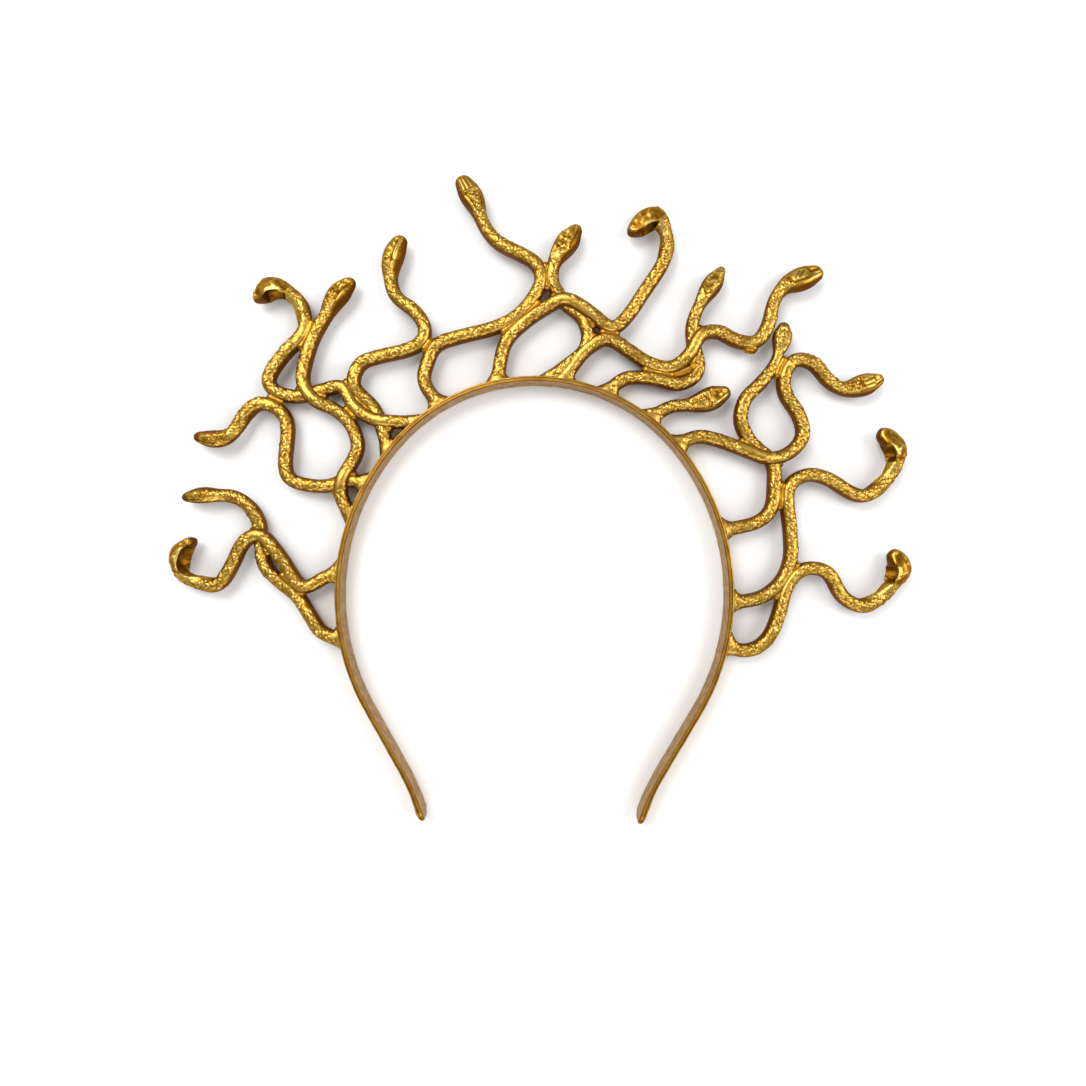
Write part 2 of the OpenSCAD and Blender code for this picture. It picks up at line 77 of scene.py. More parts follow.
# Routes: angle round the band from its top, rise in hundredths of the crest, and lift, if any, as a
# share of the body's depth; from the snout to the foot. Then roll of the head, size, hooded or not.
SNAKES = {
    "left_low_hooded": ([
        (-86, 71), (-86.5, 74), (-87, 77), (-88, 79.5), (-89, 81), (-90, 80), (-91.5, 78),
        (-92.5, 75), (-93, 70.5), (-93.5, 66), (-94, 61), (-93.5, 57), (-90, 52), (-86, 48, 0.1),
        (-84, 40.5, 0.2), (-86.7, 32.5, 0.2), (-91, 25, 0.1), (-94.5, 20, 0.1), (-96, 16.5, 0.1),
        (-95.5, 12), (-94, 7), (-92.5, 0),
    ], 90, 1, True),
    "left_low": ([
        (-79.5, 82), (-78.5, 74), (-78, 67), (-77.5, 58), (-78.5, 50), (-81.5, 43, -0.1),
        (-86.3, 39.7, -0.2), (-90.6, 36.6, -0.1), (-94, 29, -0.1), (-98, 20, -0.2), (-103, 14),
        (-108, 9), (-112, 0),
    ], -65, 0.9, False),
    "left_middle": ([
        (-69.5, 86), (-68.5, 74), (-66.5, 69), (-63, 68), (-60, 65), (-59, 57), (-60, 49),
        (-63.5, 44), (-68, 40), (-71, 35), (-71, 25), (-69.5, 16, -0.1), (-66.5, 10, -0.2),
        (-64.5, 0),
    ], -65, 1, False),
    "left_high_hooded": ([
        (-47, 96), (-45.5, 97.5), (-44, 98), (-43, 96.5), (-42, 93), (-42, 87.5), (-42, 82),
        (-42.5, 77), (-45, 69), (-50, 69), (-55, 68), (-56.5, 62), (-55, 51), (-51, 44, -0.2),
        (-47.5, 37), (-49, 27, 0.1), (-48.5, 16, 0.1), (-45, 7, 0.1), (-39.5, 0),
    ], -90, 1, True),
    "left_high": ([
        (-32.5, 74), (-36.5, 72), (-40, 68), (-44.5, 64), (-48.5, 59), (-52, 53, 0.1),
        (-53.5, 43, 0.2), (-52.5, 33), (-53, 22), (-56.5, 13), (-61, 11), (-66, 11, 0.2),
        (-71, 8, 0.1), (-76.5, 0),
    ], 25, 1, False),
    "left_top": ([
        (-22, 82), (-25, 74), (-27, 65), (-27.5, 56), (-25.5, 46), (-25, 37), (-27, 31), (-31, 31),
        (-36, 35), (-41, 39), (-45, 35, 0.1), (-46, 30), (-46, 20, -0.2), (-48, 11, -0.1), (-53, 0),
    ], 30, 1, False),
    "top_left": ([
        (-11, 102), (-9.5, 89), (-8.5, 76), (-6.5, 67), (-3.5, 62), (0.2, 56), (1.3, 48),
        (-0.4, 39), (-4.5, 30), (-10.5, 26), (-17, 26), (-24, 26.5), (-28, 21), (-31.5, 13),
        (-31, 0),
    ], -18, 1, False),
    "top_middle": ([
        (7.5, 76), (5.3, 65), (3.6, 56), (3.7, 47, -0.1), (6.5, 38, -0.2), (10.5, 33, -0.2),
        (13, 25, -0.1), (13, 16, -0.1), (9.5, 8), (3.5, 0),
    ], 20, 1, False),
    "top_right_hooded": ([
        (16, 76), (16.5, 81), (17, 86), (18, 90), (19.5, 91.5), (20.5, 89.5), (21.5, 85),
        (22.5, 80), (23, 73), (23, 66), (22, 53), (20.5, 38), (18, 30, 0.1), (13, 34, 0.2),
        (7, 39, 0.2), (3, 35, 0.1), (-3, 26.5), (-8, 17), (-12, 0),
    ], -90, 1, True),
    "right_top": ([
        (32.5, 81), (32.5, 72), (32.5, 60), (33.5, 49, -0.1), (36.5, 41, -0.2), (40, 34.5, -0.2),
        (40.5, 28, -0.1), (38.5, 21.3), (34, 17.7), (29, 13.5), (25.5, 9), (22.5, 0),
    ], 10, 1, False),
    "right_high_side": ([
        (44.5, 110), (43, 99), (42, 91), (42.5, 82), (44.5, 72), (45, 62), (42, 56), (38.5, 54),
        (36, 47, 0.2), (36.5, 36, 0.2), (35, 26, 0.1), (30, 22), (24, 23), (18, 25), (14.5, 19),
        (12, 12), (8.5, 0),
    ], 25, 1, False),
    "right_high": ([
        (46, 79), (48.5, 70), (50.5, 60), (51.5, 50), (52, 40), (55, 32), (58.5, 30),
        (62, 31, -0.2), (67, 35, -0.1), (72, 31), (77, 26), (79.5, 18), (80, 8), (80, 0),
    ], 0, 0.72, False),
    "right_middle_side": ([
        (62, 102), (61.5, 91), (60.5, 82), (58, 78), (54.5, 77), (52, 71), (53, 62), (56, 57),
        (60.5, 57), (64.5, 54), (66.5, 45), (66, 34, 0.2), (61.5, 25, 0.2), (56, 17), (52, 10),
        (50, 0),
    ], 10, 1, False),
    "right_middle_hooded": ([
        (70, 86), (70, 89), (70, 92.5), (71, 95), (72, 96), (73.5, 95), (74.5, 92.5), (75.5, 88.5),
        (77.5, 80), (78.5, 71), (77, 64), (74, 57), (72, 48), (73, 38), (77, 34), (83, 32),
        (89, 30), (94, 25), (98, 16.5), (100, 8), (101.5, 0),
    ], -90, 1, True),
    "right_low_hooded": ([
        (89, 77), (89, 80), (89, 83), (90, 85.5), (91, 86), (92.5, 84), (93.5, 80), (95, 75.5),
        (97, 68), (97.5, 62), (96, 54), (92, 48), (91, 40), (92, 33), (95.5, 27), (101, 24),
        (106.5, 21), (110.5, 16), (113, 8), (113, 0),
    ], -90, 1, True),
    "right_short": ([
        (48.5, 37), (46.5, 25), (44, 17), (41, 11), (38, 0),
    ], 0, 1, False),
}

# Pixels of the photo, of 1086, where the metal is fused smooth, and the height they are seen at
FUSED_Z = 6.5
FUSED_PIXELS = [
    (264, 541), (297, 590), (302, 330), (307, 390), (272, 397), (355, 408), (345, 474),
    (430, 340), (548, 268), (520, 318), (565, 296), (612, 330), (690, 345), (776, 355),
    (780, 362), (744, 447), (771, 476), (785, 578),
]
# Lines on the photo along which solder fills a narrow gap or stands out as a nub
FILLED_LINES = [((673, 375), (690, 369)), ((690, 369), (694, 366)), ((748, 347.5), (752, 348.5))]

# Two lines nearer than this touch. They are compared at steps, and not near their ends.
TOUCHING, CONTACT_STEP, CONTACT_ENDS = 5.3, 0.5, 3

# Camera, in the row frame, its turn and field of view, and the middle of the photo in pixels
CAMERA_AT = (0.000677, -0.015212, 0.272)
CAMERA_TURN, CAMERA_FOV, PHOTO_HALF = 0.8, 69.87, 543

# Half widths and half heights of a plain head, as shares of its length and its half sizes
PLAIN_WIDTHS = [
    (0, 0.58), (0.06, 0.62), (0.12, 0.7), (0.22, 0.82), (0.35, 0.95), (0.47, 1),
    (0.58, 0.98), (0.7, 0.9), (0.85, 0.74), (1, 0.58), (1.1, NECK_W / HEAD_W),
]
PLAIN_HEIGHTS = [
    (0, 0.45), (0.12, 0.62), (0.3, 0.84), (0.45, 0.96), (0.6, 0.98), (0.8, 0.9), (1, 0.82),
]
# Lengths over which a head's and a neck's sizes are blurred, and of the rounded snouts
HEAD_BLUR, NECK_BLUR = 0.5, 0.8
PLAIN_SNOUT, HOODED_SNOUT = 1.6, 1.9
# Mouth lines: length, and height as a share of the half height
PLAIN_MOUTH, HOODED_MOUTH = (8.6, -0.16), (5.6, -0.3)
# Half widths of a hooded snake, by distance from the snout
HOOD_SHARES = [(5, 0.88), (7, 0.97), (9.5, 0.99), (12, 0.97), (15, 0.86), (18, 0.68), (21, 0.54)]
HOOD_WIDTHS = [
    (0, 1.5), (1.4, 2.5), (3, 0.52 * COBRA_W),
    *((s, share * HOOD_W / 2) for s, share in HOOD_SHARES), (30, BODY_W / 2),
]
# Rise of its back and reach of its rims from the route at some distances from the snout, and how
# far the head is turned past square, in degrees, so that the hollow side shows more
HOOD_STATIONS = (0, 2, 4, 7, 10, 13, 16, 19, 23)
HOODS = {
    "left_low_hooded": (
        (1.2, 1.7, 1.7, 2.2, 1.9, 1.6, 1.6, 1.7, 2.4),
        (1.2, 1.9, 2.3, 3.4, 4, 2.9, 2.3, 2.2, 2.2), 6),
    "left_high_hooded": (
        (1.4, 1.9, 2.4, 2.9, 2.1, 1.4, 1.7, 2.2, 2.4),
        (1.6, 2.9, 3.5, 4.1, 4.4, 4.1, 3.3, 2.8, 2.5), -4),
    "top_right_hooded": (
        (1.2, 1.8, 2.1, 2.1, 1.8, 1.7, 1.6, 1.5, 1.7),
        (1.6, 2.9, 4.1, 5, 5.9, 6.1, 5.3, 3.4, 2.5), -3),
    "right_middle_hooded": (
        (1.6, 3.2, 2.4, 1.5, 1.7, 1.5, 1.4, 2, 2.2),
        (1.8, 3.5, 4.4, 5, 4.9, 4.3, 3.8, 2.8, 2.3), -3),
    "right_low_hooded": (
        (1.6, 3, 2.4, 2, 2, 1.4, 1.5, 1.9, 2.4),
        (1.8, 3.5, 4.6, 5.3, 5.1, 4.3, 2.9, 2.7, 2.4), 4),
}
# Where the rims of a hood come down and where the belly side between them is hollowed out, by
# distance from the snout
HOOD_DOWN = [(0.3, 0), (2.6, 1), (15.5, 1), (19, 0)]
HOOD_OPEN = [(3, 0), (5.4, 1), (13, 1), (17.5, 0)]
# Thickness of a rim, and of the hollow's wall as a share of the rise of the back; and where the
# neck has its body's depth
HOOD_RIM, HOOD_FLOOR, HOOD_END = 0.5, 0.25, 32
# Distance over which the rings of a hood share out the turn of its bend, and at the snout
FAN_SPREAD, FAN_TIP = 20, 6
# Large smooth scales on a hood's flank: distance from the snout, depth below its back, and half
# sizes. Ridges on it: from, to, in the same two measures, and height.
HOOD_SCALES = [
    (2.2, 1.2, 1, 0.7), (4.6, 1.5, 1.2, 0.8), (7, 1.6, 1.3, 0.9),
    (13.6, 1.8, 1.2, 0.8), (16.4, 1.6, 1.2, 0.8), (10.6, 4.2, 1, 0.8),
]
HOOD_RIDGES = [
    ((11.8, 0.6, 9.6, 3.4), 0.4), ((10.6, 4.2, 14.5, 3.8), 0.26), ((9.6, 3.4, 5, 3.6), 0.26),
]

# Small scales: slant of their rows, length on the neck and on the body, width round it, and the
# numbers that scatter their heights; and the width of a belly band
SCALE_SLANT, NECK_PITCH, BODY_PITCH, COLUMN_PITCH = 0.55, 1.6, 2, 1.9
SCATTER = 12.9898, 78.233, 43758.5453
BELLY_PITCH = 1.7
# Added to the distance from an eye where there is none
FAR = 9
# The dressed snakes stay between these heights
LOWEST, HIGHEST = 0.02, 9.1

# Plain heads: how pointed each one is, how wide beside the others, and how far from the snout its
# small scales begin. Then the marks cast into it, on a head 15 long and 8 wide: bumps, by distance
# from the snout, place across, reach along, reach across and height, and lines, by both ends, half
# width and height. A height below zero cuts a groove.
HEADS = {
    "top_left": (0, 1, 7.2, [], [
        (1.5, -1.3, 6.5, -2.5, 0.34, 0.34), (1.4, -0.45, 6.6, -0.85, 0.34, 0.36),
        (1.4, 0.45, 6.6, 0.85, 0.34, 0.36), (1.5, 1.3, 6.5, 2.5, 0.34, 0.34),
        (7, -3, 7, 3, 0.34, 0.48), (7.6, 2.7, 13, 1.2, 0.3, -0.34),
        (7.6, -2.7, 13, -1.2, 0.3, -0.34),
    ]),
    "top_middle": (0.25, 1.02, 8, [
        (4.5, 0.7, 1.5, 1.3, 0.6), (2.2, 1.2, 0.9, 0.8, 0.35), (7.2, 1.7, 1.2, 0.9, 0.42),
        (7.3, -0.5, 1.2, 0.9, 0.36), (9.4, 0.8, 1.1, 0.9, 0.36), (9.9, -1.1, 1.1, 0.9, 0.3),
    ], [
        (0.9, -0.5, 7.5, -2.2, 0.36, 0.42), (1.6, -1.5, 8.8, -3.1, 0.36, -0.45),
    ]),
    "right_short": (0.2, 1.04, 7, [
        (5, 0.4, 1.4, 1.2, -0.55),
    ], [
        (0.9, 0.5, 6.6, 2.6, 0.34, 0.44), (0.9, -0.5, 7.6, -2.4, 0.34, 0.46),
        (7.6, 2.3, 8.6, -2, 0.3, 0.36), (9, -1.9, 15, -1.1, 0.28, 0.34),
        (9.6, 0.5, 15, 0.4, 0.28, 0.34),
    ]),
    "right_middle_side": (0.2, 0.95, 7, [
        (2.6, 0.9, 1.1, 0.8, 0.4),
    ], [
        (0.6, -0.9, 3.6, -2, 0.42, -0.5), (4, 1.6, 8, 1.4, 0.4, 0.36),
        (4.4, 0.2, 8.6, -0.3, 0.4, 0.38), (5, -1.4, 9.4, -1.8, 0.4, 0.36),
        (8.8, 0.7, 12.6, 0.6, 0.36, 0.34), (9.6, -0.7, 13, -0.7, 0.36, 0.34),
    ]),
    "left_top": (0, 1, 7.5, [
        (1.9, 0.5, 0.9, 0.8, 0.45), (3.6, 1.5, 1, 0.8, 0.42), (3.8, -0.3, 1, 0.8, 0.4),
        (5.9, 0.9, 1.2, 1, 0.4), (8.2, 0.4, 1.2, 1, 0.32),
    ], [
        (1.4, -1.5, 9.5, -2.7, 0.36, 0.42), (2.2, -0.9, 10, -1.7, 0.34, -0.45),
    ]),
    "right_top": (0.3, 0.84, 9, [], [
        (1.6, 1, 4.2, 1.3, 0.36, 0.44), (4.2, 1.3, 3, -1.1, 0.36, 0.44),
        (3, -1.1, 5.6, -1.6, 0.32, 0.38), (5, 2.1, 8.4, 1.4, 0.38, 0.46),
        (8.4, 1.4, 6.2, -0.8, 0.38, 0.44), (6.6, -2, 9.4, -1.2, 0.34, 0.4),
        (9.8, 1.6, 11.4, -0.4, 0.34, 0.4), (5.6, 0.9, 4.6, -0.4, 0.34, -0.45),
        (9.2, 0.2, 8, -0.6, 0.3, -0.4),
    ]),
    "right_high_side": (0.1, 1.08, 11, [
        (8.6, 0, 2.8, 2.1, 0.3), (3, 2.2, 0.7, 0.6, 0.36), (4.6, 2.6, 0.7, 0.6, 0.36),
        (6.2, 2.8, 0.7, 0.6, 0.36), (7.8, 2.8, 0.7, 0.6, 0.34), (9.4, 2.6, 0.7, 0.6, 0.32),
    ], [
        (1.5, 0.5, 4.6, 0.1, 0.5, -0.62), (1.2, 1.4, 5, 1.2, 0.3, 0.36),
        (1.4, -0.6, 6.6, -1.7, 0.32, 0.42), (6.6, 0.9, 9.2, -0.9, 0.26, -0.24),
        (8.2, 1.2, 10.4, -0.6, 0.26, -0.24), (6.6, -1.9, 11.5, -2.2, 0.28, -0.34),
    ]),
    "left_high": (0.2, 1, 6, [
        (2.2, 0.8, 1.1, 0.8, 0.42), (4.4, 1.4, 1.3, 0.9, 0.44), (4.2, -0.4, 1.2, 0.7, 0.36),
        (9, 0.8, 1.2, 0.9, 0.32),
    ], [
        (2, -1.5, 9.5, -2.1, 0.5, -0.48), (6.4, 2.4, 7.2, -1.4, 0.34, 0.38),
    ]),
    "left_middle": (0.25, 0.95, 3.4, [], [
        (3.6, 1.4, 12.5, 1.3, 0.36, 0.34), (3.4, 2.7, 11.5, 2.6, 0.36, 0.34),
        (2.6, -1.4, 12.5, -1.3, 0.36, 0.34), (3.4, -2.7, 11.5, -2.6, 0.36, 0.34),
        (3.6, 0, 12.5, 0, 0.32, -0.3),
    ]),
    "left_low": (0.35, 0.95, 3.6, [
        (6.2, 2.6, 2.4, 1.3, 0.36), (6.2, -2.6, 2.4, 1.3, 0.36),
    ], [
        (3, 1, 3.2, 3.4, 0.3, -0.36), (3, -1, 3.2, -3.4, 0.3, -0.36), (3.6, 0, 10, 0, 0.36, 0.36),
    ]),
    "right_high": (0.2, 1.15, 10, [
        (3.2, 0, 1.3, 1.4, 0.42),
    ], [
        (5.2, 0, 8, 2.4, 0.36, 0.42), (5.2, 0, 8, -2.4, 0.36, 0.42), (8.2, 0, 11, 2.2, 0.36, 0.38),
        (8.2, 0, 11, -2.2, 0.36, 0.38),
    ]),
}

# Colours of the gold: light, worn, and where it is fused
GOLD_LIGHT, GOLD_WORN, GOLD_FUSED = (0.66, 0.46, 0.13), (0.42, 0.23, 0.03), (0.54, 0.28, 0.02)
SOLDER_LIGHT, SOLDER_DARK = (0.54, 0.29, 0.03), (0.34, 0.16, 0.014)
# The band's front edge, and the tan painted reflection on its inner face
EDGE_LIGHT, EDGE_DARK = (0.62, 0.38, 0.08), (0.36, 0.18, 0.03)
REFLECTION_TAN_LIGHT, REFLECTION_TAN_DARK = (0.44, 0.285, 0.15), (0.27, 0.155, 0.065)
# Share of the gold's colour left by the dark patina in hollows and by painted shade on walls, cheeks
# and hood flanks: thin, deep and darkest
PATINA_SHADE_THIN, PATINA_SHADE_DEEP, PATINA_SHADE_DARK = (0.68, 0.54, 0.22), (0.36, 0.21, 0.05), (0.19, 0.09, 0.02)
# Tint of the gloss where a snake's and the band's surface turns away, and its strength
EDGE_TINT, BAND_TINT, GLOSS = (0.60, 0.34, 0.04), (0.90, 0.74, 0.50), 0.15
BUMP_DISTANCE = 0.0001

# Lights: name, place, size and watts
LIGHTS = [
    ("softbox left", (-0.45, 0.5, 0.8), (0.9, 0.9), 6.4),
    ("lamp left", (-0.3, 0.36, 0.75), (0.3, 0.3), 1.4),
    ("softbox right", (0.75, 0.1, 0.65), (0.5, 0.9), 5),
    ("softbox low", (0, -0.8, 0.6), (0.9, 0.4), 3),
]
WORLD_COLOUR, WORLD_STRENGTH = (1, 0.99, 0.96, 1), 0.41
FLOOR_SIZE, FLOOR_Z = 4, -0.0002


def smooth(x, low, high):
    """0 below low, 1 above high, and an even rise between them."""
    t = np.clip((x - low) / (high - low), 0, 1)
    return t * t * (3 - 2 * t)


def bell(x, middle, width):
    """1 at the middle, falling off on both sides."""
    return np.exp(-(((x - middle) / width) ** 2))


def unit(v):
    """Vectors of length 1."""
    return v / np.maximum(np.linalg.norm(v, axis=-1, keepdims=True), 1e-12)


def outward(angle):
    """Direction at an angle in degrees, clockwise from straight up."""
    a = np.radians(angle)
    return np.stack([np.sin(a), np.cos(a)], -1)


def gaussian(reach, step, blur):
    """Weights of a blur, from -reach to reach steps."""
    weights = np.exp(-0.5 * (np.arange(-reach, reach + 1) * step / blur) ** 2)
    return weights / weights.sum()


def table(s, rows, blur):
    """Smoothed lookup of a table of (distance, value) rows."""
    keys, values = np.array(rows, float).T
    fine = np.arange(-3 * blur, s[-1] + 3 * blur + TABLE_STEP, TABLE_STEP)
    reach = int(round(3 * blur / TABLE_STEP))
    padded = np.pad(np.interp(fine, keys, values), reach, mode="edge")
    blurred = np.convolve(padded, gaussian(reach, TABLE_STEP, blur), mode="valid")
    return np.interp(s, fine, blurred)


def run_of(line):
    """Distance run along a line to each of its points."""
    steps = np.linalg.norm(np.diff(line, axis=0), axis=1)
    return np.concatenate([[0], np.cumsum(steps)])


def along(line, run, x):
    """Points of a line at distances x."""
    return np.stack([np.interp(x, run, line[:, k]) for k in range(3)], -1)


def seen_at(px, py, z):
    """The point at height z, in millimetres, that the photo shows at a pixel of its 1086."""
    focal = PHOTO_HALF / math.tan(math.radians(CAMERA_FOV / 2))
    reach = CAMERA_AT[2] / MM - z
    x, y = (px - PHOTO_HALF) / focal * reach, (PHOTO_HALF - py) / focal * reach
    a = math.radians(CAMERA_TURN)
    return np.array([
        x * math.cos(a) - y * math.sin(a) + CAMERA_AT[0] / MM,
        x * math.sin(a) + y * math.cos(a) + CAMERA_AT[1] / MM,
        z,
    ])


def nearest(points, others):
    """Distance across the floor from each point to the nearest of the others."""
    dx = points[..., 0, None] - others[:, 0]
    dy = points[..., 1, None] - others[:, 1]
    return np.hypot(dx, dy).min(-1)


# Lines of the snakes
def face_r(angle):
    """Distance of the band's outer face from the centre of the crown curve."""
    turn = abs(angle)
    crown, side = CROWN_R + BAND_T, SIDE_R + BAND_T
    offset = side - crown
    near = offset * math.cos(math.radians(turn - CROWN_TURN))
    return crown if turn <= CROWN_TURN else math.sqrt(near**2 - offset**2 + side**2) - near


def spots(route):
    """Points of a route in the row frame. The foot, with no rise, is in the middle of the band."""
    points = []
    for angle, rise, *lift in route:
        a = angle + CREST_TURN
        x, y = outward(a) * (face_r(a) + (rise / 100 * CREST_H if rise else -BAND_T / 2))
        points.append((x, y, MID_D + (lift[0] * BODY_D if lift else 0)))
    return np.array(points) - MIDDLE


def curve(points):
    """Smooth curve through points."""
    p = np.vstack([points[:1], points, points[-1:]])
    a, b, c, d = p[:-3, None], p[1:-2, None], p[2:-1, None], p[3:, None]
    t = (np.arange(CURVE_STEPS) / CURVE_STEPS)[None, :, None]
    line = (2 * b + (c - a) * t + (2 * a - 5 * b + 4 * c - d) * t**2
            + (3 * b - 3 * c + d - a) * t**3) / 2
    return np.vstack([line.reshape(-1, 3), points[-1:]])


def snake_line(name):
    """A snake's fine line with its corners eased, and the distance run to each point."""
    line = curve(spots(SNAKES[name][0]))
    run = run_of(line)
    fine = np.linspace(0, run[-1], int(run[-1] / LINE_STEP))
    reach = int(3 * EASE / LINE_STEP)
    weights = gaussian(reach, LINE_STEP, EASE)
    eased = []
    for v in along(line, run, fine).T:
        v = np.concatenate([2 * v[0] - v[reach:0:-1], v, 2 * v[-1] - v[-2:-reach - 2:-1]])
        eased.append(np.convolve(v, weights, "valid"))
    line = np.stack(eased, -1)
    return line, run_of(line)


def fanned(forward, s):
    """Directions that share out the turn of a bend evenly, in the plane of the floor."""
    fine = np.arange(-FAN_SPREAD, s[-1] + FAN_SPREAD, TABLE_STEP)
    angle = np.interp(fine, s, np.unwrap(np.arctan2(forward[:, 1], forward[:, 0])))
    total = np.cumsum(angle) * TABLE_STEP
    width = np.clip(FAN_TIP + 2 * s, FAN_TIP, FAN_SPREAD)
    turned = (np.interp(s + width / 2, fine, total) - np.interp(s - width / 2, fine, total)) / width
    return np.stack([np.cos(turned), np.sin(turned), np.zeros(len(s))], -1)


def contacts():
    """Spots where two snakes touch or cross, and points along the lines filled with solder."""
    lines = []
    for name in SNAKES:
        line, run = snake_line(name)
        middle = np.arange(CONTACT_ENDS, run[-1] - CONTACT_ENDS, CONTACT_STEP)
        lines.append(along(line, run, middle))
    found = []
    for i, a in enumerate(lines):
        for b in lines[i + 1:]:
            gap = np.hypot(*(a[:, None, :2] - b[None, :, :2]).transpose(2, 0, 1))
            while gap.min() < TOUCHING:
                m, n = np.unravel_index(gap.argmin(), gap.shape)
                found.append((a[m] + b[n]) / 2)
                gap[m, :] = gap[:, n] = np.inf
    for start, end in FILLED_LINES:
        a, b = seen_at(*start, MID_D), seen_at(*end, MID_D)
        steps = int(np.linalg.norm(b - a) / CONTACT_STEP) + 1
        found += list(a + (b - a) * np.linspace(0, 1, steps)[:, None])
    return np.array(found)


FUSED = np.array([seen_at(px, py, FUSED_Z) for px, py in FUSED_PIXELS])
CONTACTS = contacts()


# Meshes
def section_columns():
    """Shares of half width and half height per column, and distance round from the top."""
    angles = np.radians(np.linspace(-90, 270, SECTION_STEPS + 1))
    angles[-1] = angles[0]
    power = 2 / np.where(np.sin(angles) > 0, FRONT_POWER, BACK_POWER)
    across = np.sign(np.cos(angles)) * np.abs(np.cos(angles)) ** power
    up = np.sign(np.sin(angles)) * np.abs(np.sin(angles)) ** power
    run = run_of(np.stack([across * BODY_W / 2, up * BODY_D / 2], -1))
    top, total = run[SECTION_STEPS // 2], run[-1]
    front = total * FRONT_SHARE
    marks = np.concatenate([
        np.linspace(top - front, top + front, FRONT_COLUMNS, endpoint=False),
        np.linspace(top + front, top - front + total, BACK_COLUMNS, endpoint=False),
    ])
    c, d = (np.interp(marks % total, run, values) for values in (across, up))
    around = marks - top
    around = np.where(around > total / 2, around - total, around)
    return c, d, -around


C, D, U = (values[None, :] for values in section_columns())


def add_piece(name, verts, quads, tris, material, **values):
    """A smooth piece from points in millimetres, with one float attribute per value."""
    mesh = bpy.data.meshes.new(name)
    faces = quads.tolist() + tris.tolist()
    mesh.from_pydata((verts * MM).tolist(), [], faces, shade_flat=False)
    for key, value in values.items():
        layer = mesh.attributes.new(key, "FLOAT", "POINT")
        layer.data.foreach_set("value", np.clip(value, 0, 1).astype(np.float32).ravel())
    mesh.materials.append(material)
    mesh.validate()
    piece = bpy.data.objects.new(name, mesh)
    bpy.context.scene.collection.objects.link(piece)
    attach(piece, "root")
    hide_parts("diadem")


def tube(rows, columns):
    """Quads of a tube of rings, and fans that cap it round two points which follow its rings."""
    k = np.arange(columns)
    n = (k + 1) % columns
    i = np.arange(rows - 1)[:, None] * columns
    quads = np.stack([i + k, i + n, i + columns + n, i + columns + k], -1).reshape(-1, 4)
    base, tip = (rows - 1) * columns, np.full(columns, rows * columns)
    first, last = np.stack([n, k, tip], -1), np.stack([base + k, base + n, tip + 1], -1)
    return quads, np.vstack([first, last])


# Relief
def scale_relief(s_phase, u_phase):
    """Height of overlapping scales, and how deep between them each point lies, 0 to 1."""
    p, q = s_phase + u_phase, SCALE_SLANT * (s_phase - u_phase)
    ip, iq = np.floor(p), np.floor(q)
    seed = np.sin(ip * SCATTER[0] + iq * SCATTER[1]) * SCATTER[2]
    # Place in a slanting cell from its head side to its tail side, and a chance for the cell
    fp, fq, chance = p - ip, q - iq, seed - np.floor(seed)
    rise = smooth(np.minimum(fp, 1.6 * fq), 0.0, 0.42)
    drop = smooth(np.minimum(1 - fp, 1.6 * (1 - fq)), 0.0, 0.26)
    height = rise * drop * (0.20 + 1.35 * chance**1.6)
    return height, 1 - rise * drop * (0.55 + 0.45 * chance)


def line_distance(x, y, x0, y0, x1, y1):
    """Distance from points to a stretch of line."""
    dx, dy = x1 - x0, y1 - y0
    t = np.clip(((x - x0) * dx + (y - y0) * dy) / (dx * dx + dy * dy), 0, 1)
    return np.hypot(x - x0 - t * dx, y - y0 - t * dy)


def marked(x, y, bumps, lines):
    """Relief of a head's marks, and the depth of patina and painted shade in and round them."""
    relief, groove = np.zeros(np.broadcast(x, y).shape), 0
    for mx, my, rx, ry, high in bumps:
        r = np.hypot((x - mx) / rx, (y - my) / ry)
        shape = np.exp(-1.6 * r**2.4)
        edge = bell(r, 1.35, 0.28)
        relief = relief + high * shape - 0.10 * edge * np.sign(high)
        groove = groove + 0.35 * edge + (0.8 * shape if high < 0 else 0)
    for *ends, half, high in lines:
        d = line_distance(x, y, *ends)
        shape = bell(d, 0, half)
        relief = relief + high * shape
        groove = groove + (0.8 * shape if high < 0 else 0.25 * bell(d, 1.9 * half, 0.7 * half))
    return relief, groove


def eye_relief(r, high, deep):
    """An eye of radius 1: the relief of its ball and socket, and where the socket is."""
    socket = bell(r, 1.35, 0.3)
    return high * np.exp(-(r**4)) - deep * socket, socket


